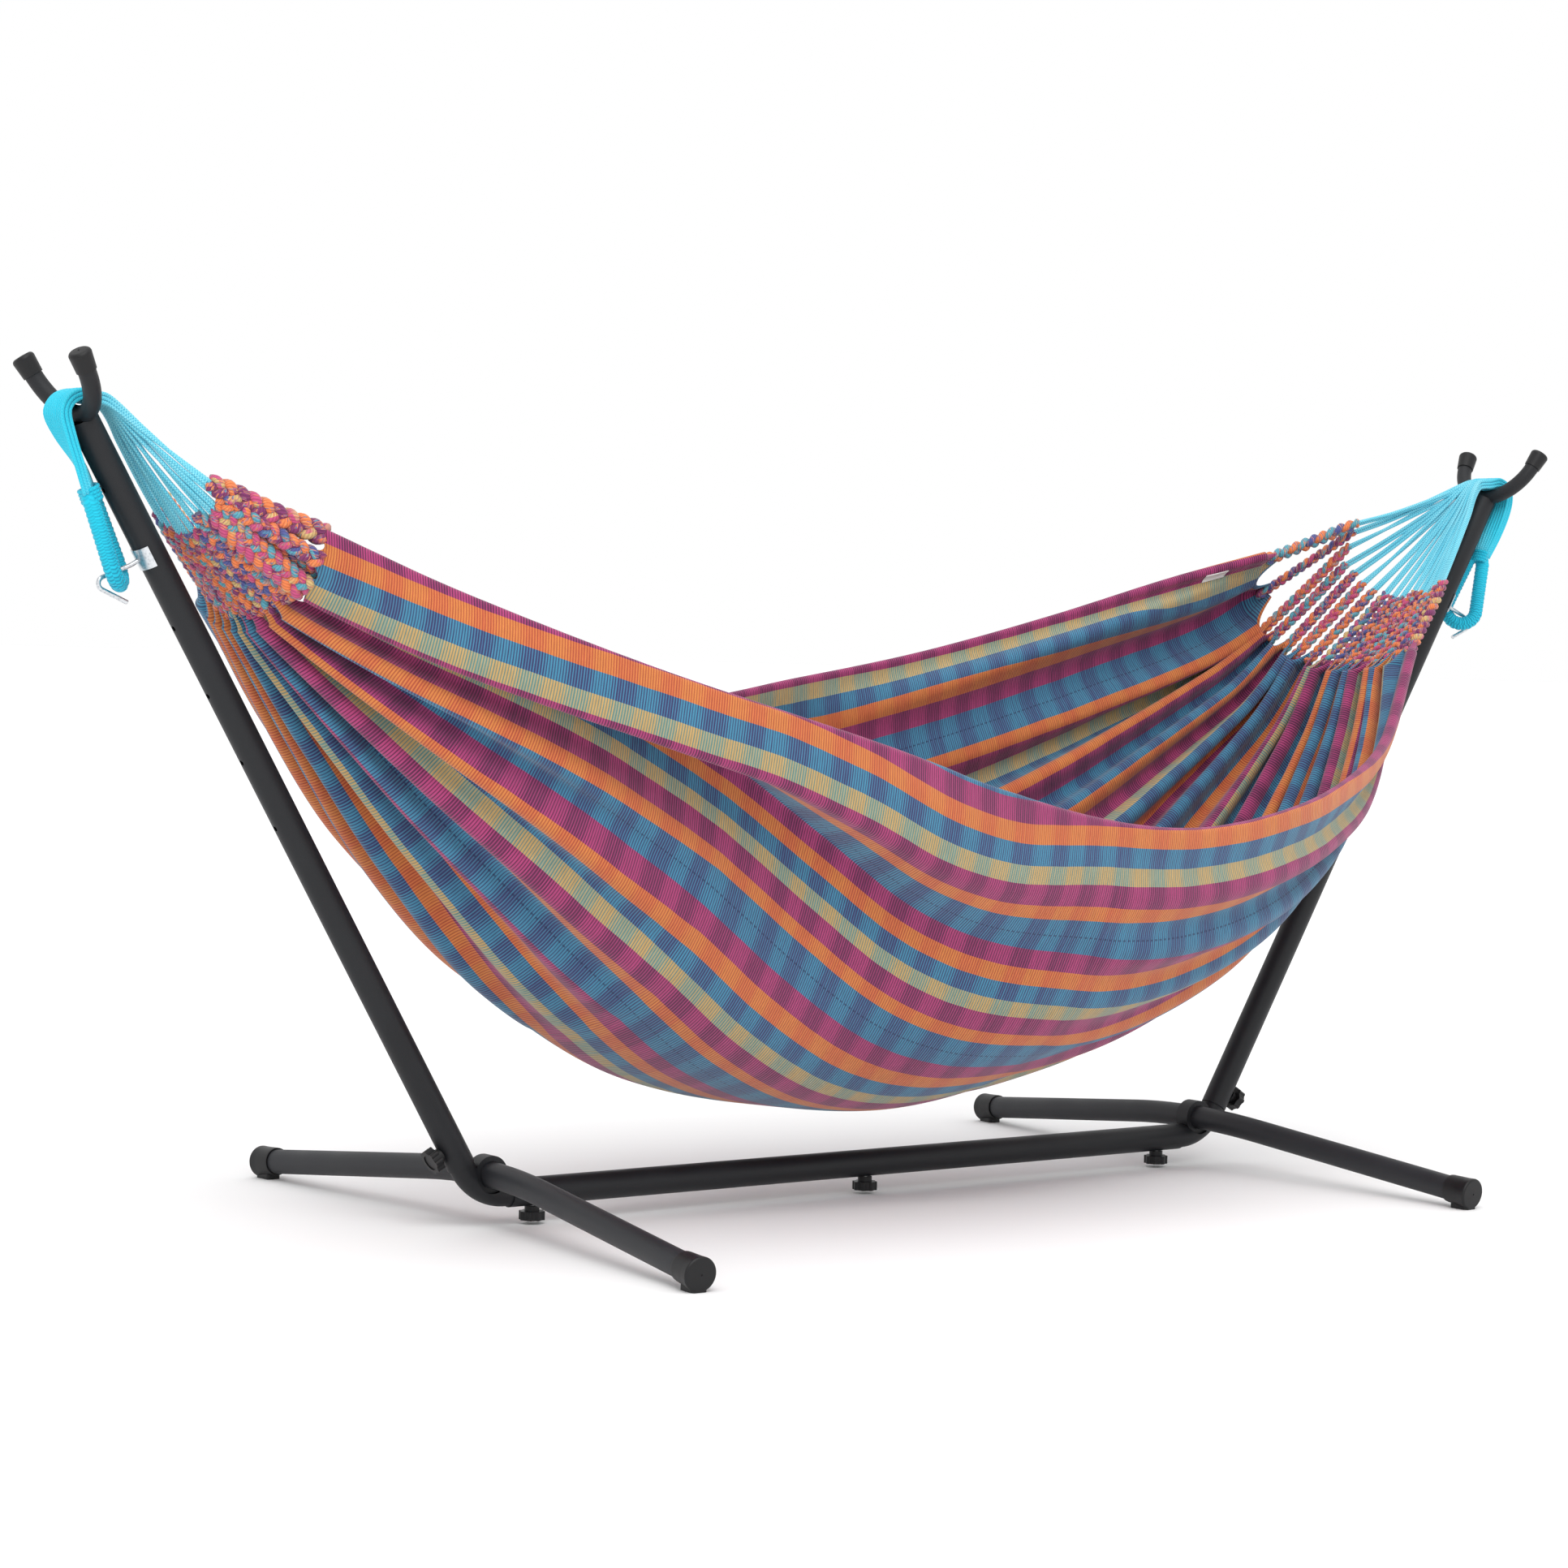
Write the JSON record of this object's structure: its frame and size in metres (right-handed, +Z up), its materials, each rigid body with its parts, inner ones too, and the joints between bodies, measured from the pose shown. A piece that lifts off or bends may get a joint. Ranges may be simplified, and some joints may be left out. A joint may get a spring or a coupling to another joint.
{
  "type": "hammock on stand",
  "caption": "Striped cloth hammock with plaited ends, hung by fanned cords over the forks of a tubular steel stand.",
  "frame": {"origin": "on the floor at the middle of the stand", "axes": "+X along the beam to the right end, -Y to the front where the low rim is, +Z up"},
  "size_m": [2.848, 1.188, 1.2264],
  "materials": {
    "charcoal_powder_coat": "satin powder coat with a fine grain",
    "grey_powder_coat": "satin powder coat, slightly greyer",
    "black_plastic": "moulded plastic",
    "screw_steel": "zinc plated",
    "galvanised_steel": "bright galvanised",
    "striped_cotton": "rope-ribbed woven cotton in stripes",
    "braided_cotton": "warp yarns in thick plaits",
    "pale_cord": "knitted cord, pale with darker flecks",
    "cyan_cord": "knitted cord wound tight",
    "label_cloth": "plain woven label"
  },
  "bodies": {
    "stand": {"beam_left": "charcoal_powder_coat", "beam_right": "charcoal_powder_coat", "elbow_left": "charcoal_powder_coat", "elbow_right": "charcoal_powder_coat", "end_loop_left": "cyan_cord", "end_loop_right": "cyan_cord", "foot_bar_left": "grey_powder_coat", "foot_bar_right": "grey_powder_coat", "foot_cap_left_back": "black_plastic", "foot_cap_left_front": "black_plastic", "foot_cap_right_back": "black_plastic", "foot_cap_right_front": "black_plastic", "foot_ring_left": "charcoal_powder_coat", "foot_ring_right": "charcoal_powder_coat", "fork_cap_left_back": "black_plastic", "fork_cap_left_front": "black_plastic", "fork_cap_right_back": "black_plastic", "fork_cap_right_front": "black_plastic", "fork_left": "charcoal_powder_coat", "fork_right": "charcoal_powder_coat", "hook_left": "galvanised_steel", "hook_plate_left": "galvanised_steel", "hook_plate_right": "galvanised_steel", "hook_right": "galvanised_steel", "insert_nuts": "screw_steel", "strap_left": "cyan_cord", "strap_right": "cyan_cord", "upright_left": "charcoal_powder_coat", "upright_right": "charcoal_powder_coat"},
    "hammock": {"hammock_bed": "striped_cotton", "sewn_label": "label_cloth", "braids_left": "braided_cotton", "braids_right": "braided_cotton", "cord_fan_left": "pale_cord", "cord_fan_right": "pale_cord"},
    "turning_knob_beam_left": {"knob_beam_left": "black_plastic", "knob_bolt_beam_left": "screw_steel"},
    "turning_knob_beam_middle": {"knob_beam_middle": "black_plastic", "knob_bolt_beam_middle": "screw_steel"},
    "turning_knob_beam_right": {"knob_beam_right": "black_plastic", "knob_bolt_beam_right": "screw_steel"},
    "turning_knob_upright_left": {"knob_upright_left": "black_plastic", "knob_bolt_upright_left": "screw_steel"},
    "turning_knob_upright_right": {"knob_upright_right": "black_plastic", "knob_bolt_upright_right": "screw_steel"}
  },
  "joints": [
    {"name": "hammock_swing", "type": "hinge", "parent": "stand", "child": "hammock", "pos_m": [0, 0, 1.1655], "axis": [1, 0, 0], "range_deg": [-25, 25]},
    {"name": "knob_beam_left_turn", "type": "hinge", "parent": "stand", "child": "turning_knob_beam_left", "pos_m": [-0.621, 0, 0.027], "axis": [0, 0, -1], "continuous": true},
    {"name": "knob_beam_middle_turn", "type": "hinge", "parent": "stand", "child": "turning_knob_beam_middle", "pos_m": [0, 0, 0.027], "axis": [0, 0, -1], "continuous": true},
    {"name": "knob_beam_right_turn", "type": "hinge", "parent": "stand", "child": "turning_knob_beam_right", "pos_m": [0.617, 0, 0.027], "axis": [0, 0, -1], "continuous": true},
    {"name": "knob_upright_left_turn", "type": "hinge", "parent": "stand", "child": "turning_knob_upright_left", "pos_m": [-0.7799, 0, 0.11129], "axis": [-0.8604, 0, -0.5096], "continuous": true},
    {"name": "knob_upright_right_turn", "type": "hinge", "parent": "stand", "child": "turning_knob_upright_right", "pos_m": [0.7799, 0, 0.11129], "axis": [0.8604, 0, -0.5096], "continuous": true}
  ]
}
